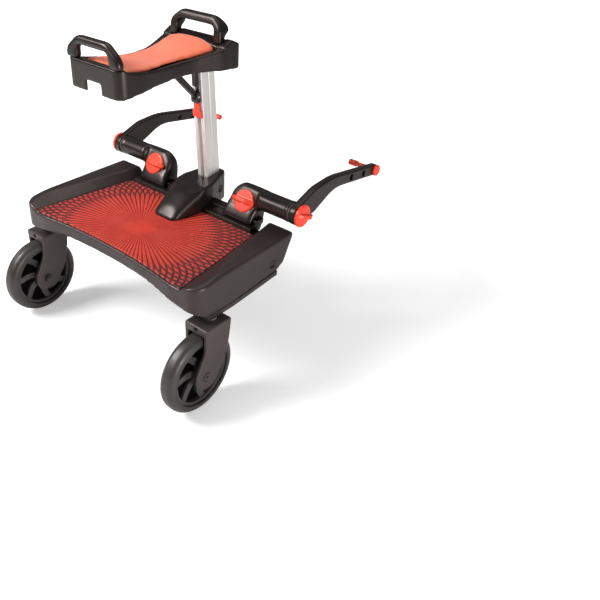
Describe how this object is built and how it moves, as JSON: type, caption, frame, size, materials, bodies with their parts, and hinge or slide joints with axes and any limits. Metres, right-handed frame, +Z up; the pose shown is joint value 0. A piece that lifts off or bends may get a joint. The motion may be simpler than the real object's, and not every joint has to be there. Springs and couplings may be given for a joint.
{
  "type": "stroller ride-on board",
  "caption": "Ride-on board that hitches behind a stroller: ribbed standing deck on rear castors, folding saddle on a post, and adjustable clamp arms with pull pins.",
  "frame": {"origin": "on the floor, under the middle of the whole object's box", "axes": "+Z up, +Y forward to the stroller, +X to the rider's right"},
  "size_m": [0.4168, 0.475, 0.488],
  "materials": {
    "black_plastic": "moulded, fine grain",
    "dark_grey_plastic": "moulded, satin",
    "orange_plastic": "moulded, satin",
    "pad": "soft foam pad",
    "mat": "printed grip mat with dark ribs",
    "tyre": "matt",
    "aluminium": "satin extrusion",
    "steel": "plated",
    "bush": "slippery plastic"
  },
  "bodies": {
    "board": {"deck_tray": "black_plastic", "side_runner_right": "black_plastic", "side_runner_left": "black_plastic", "side_plug_right": "black_plastic", "side_plug_left": "black_plastic", "swivel_bush_right": "bush", "swivel_bush_left": "bush", "runner_screws": "steel", "grip_mat": "mat", "front_rail": "black_plastic", "post_socket": "black_plastic", "post": "aluminium", "post_bolt": "steel", "post_head": "black_plastic", "hinge_pin": "steel"},
    "seat": {"seat_shell": "black_plastic", "seat_pad": "pad", "seat_frame": "black_plastic", "seat_screws": "steel", "rear_handle": "black_plastic", "front_handle": "black_plastic"},
    "slider": {"prop_slider": "black_plastic", "prop_foot_pin": "steel"},
    "latch": {"latch": "orange_plastic"},
    "prop": {"prop": "black_plastic", "prop_top_pin": "steel"},
    "castor_right": {"castor_fork_right": "dark_grey_plastic", "castor_stem_right": "steel", "axle_bolt_right": "steel", "axle_nut_right": "steel"},
    "wheel_right": {"wheel_right": "black_plastic", "tyre_right": "tyre", "wheel_bearings_right": "steel"},
    "elbow_right": {"elbow_right": "black_plastic", "friction_disc_right": "bush", "arm_stud_right": "steel"},
    "clamp_right": {"clamp_knob_right": "orange_plastic", "clamp_stud_right": "steel"},
    "arm_right": {"arm_right": "black_plastic"},
    "end_knob_right": {"end_knob_right": "orange_plastic"},
    "hitch_right": {"hitch_pin_right": "orange_plastic"},
    "castor_left": {"castor_fork_left": "dark_grey_plastic", "castor_stem_left": "steel", "axle_bolt_left": "steel", "axle_nut_left": "steel"},
    "wheel_left": {"wheel_left": "black_plastic", "tyre_left": "tyre", "wheel_bearings_left": "steel"},
    "elbow_left": {"elbow_left": "black_plastic", "friction_disc_left": "bush", "arm_stud_left": "steel"},
    "clamp_left": {"clamp_knob_left": "orange_plastic", "clamp_stud_left": "steel"},
    "arm_left": {"arm_left": "black_plastic"},
    "end_knob_left": {"end_knob_left": "orange_plastic"},
    "hitch_left": {"hitch_pin_left": "orange_plastic"}
  },
  "joints": [
    {"name": "seat_fold", "type": "hinge", "parent": "board", "child": "seat", "pos_m": [0, 0.012, 0.425], "axis": [1, 0, 0], "range_deg": [0, 90]},
    {"name": "prop_slide", "type": "slide", "parent": "board", "child": "slider", "axis": [0, -0.075, 0.9972], "range_m": [-0.0728, 0.0004]},
    {"name": "prop_turn", "type": "hinge", "parent": "slider", "child": "prop", "pos_m": [0, 0.01415, 0.36814], "axis": [1, 0, 0], "range_deg": [-41.5, 0.5]},
    {"name": "latch_slide", "type": "slide", "parent": "slider", "child": "latch", "axis": [0, -0.075, 0.9972], "range_m": [-0.005, 0], "stiffness_N_per_m": 200, "springref_m": 0.004},
    {"name": "castor_swivel_right", "type": "hinge", "parent": "board", "child": "castor_right", "pos_m": [0.183, -0.147, 0.14], "axis": [0, 0, 1], "continuous": true},
    {"name": "wheel_spin_right", "type": "hinge", "parent": "castor_right", "child": "wheel_right", "pos_m": [0.183, -0.175, 0.0625], "axis": [1, 0, 0], "continuous": true},
    {"name": "elbow_slide_right", "type": "slide", "parent": "board", "child": "elbow_right", "axis": [1, 0, 0], "range_m": [-0.025, 0.005]},
    {"name": "clamp_turn_right", "type": "hinge", "parent": "elbow_right", "child": "clamp_right", "pos_m": [0.0995, 0.0174, 0.2277], "axis": [0, -0.866, 0.5], "range_deg": [0, 180]},
    {"name": "arm_pitch_right", "type": "hinge", "parent": "elbow_right", "child": "arm_right", "pos_m": [0.185, 0.028, 0.235], "axis": [1, 0, 0], "range_deg": [-35, 90]},
    {"name": "end_knob_turn_right", "type": "hinge", "parent": "arm_right", "child": "end_knob_right", "pos_m": [0.1974, 0.028, 0.235], "axis": [1, 0, 0], "range_deg": [0, 180]},
    {"name": "hitch_pull_right", "type": "slide", "parent": "arm_right", "child": "hitch_right", "axis": [1, 0, 0], "range_m": [0, 0.036]},
    {"name": "castor_swivel_left", "type": "hinge", "parent": "board", "child": "castor_left", "pos_m": [-0.183, -0.147, 0.14], "axis": [0, 0, 1], "continuous": true},
    {"name": "wheel_spin_left", "type": "hinge", "parent": "castor_left", "child": "wheel_left", "pos_m": [-0.183, -0.175, 0.0625], "axis": [1, 0, 0], "continuous": true},
    {"name": "elbow_slide_left", "type": "slide", "parent": "board", "child": "elbow_left", "axis": [-1, 0, 0], "range_m": [-0.025, 0.005]},
    {"name": "clamp_turn_left", "type": "hinge", "parent": "elbow_left", "child": "clamp_left", "pos_m": [-0.0995, 0.0174, 0.2277], "axis": [0, -0.866, 0.5], "range_deg": [0, 180]},
    {"name": "arm_pitch_left", "type": "hinge", "parent": "elbow_left", "child": "arm_left", "pos_m": [-0.185, 0.028, 0.235], "axis": [1, 0, 0], "range_deg": [-35, 90]},
    {"name": "end_knob_turn_left", "type": "hinge", "parent": "arm_left", "child": "end_knob_left", "pos_m": [-0.1974, 0.028, 0.235], "axis": [-1, 0, 0], "range_deg": [0, 180]},
    {"name": "hitch_pull_left", "type": "slide", "parent": "arm_left", "child": "hitch_left", "axis": [-1, 0, 0], "range_m": [0, 0.036]}
  ],
  "couplings": [
    {"joint": "prop_slide", "follows": "seat_fold", "m_per_rad": -0.04586},
    {"joint": "prop_turn", "follows": "seat_fold", "ratio": -0.45407}
  ]
}
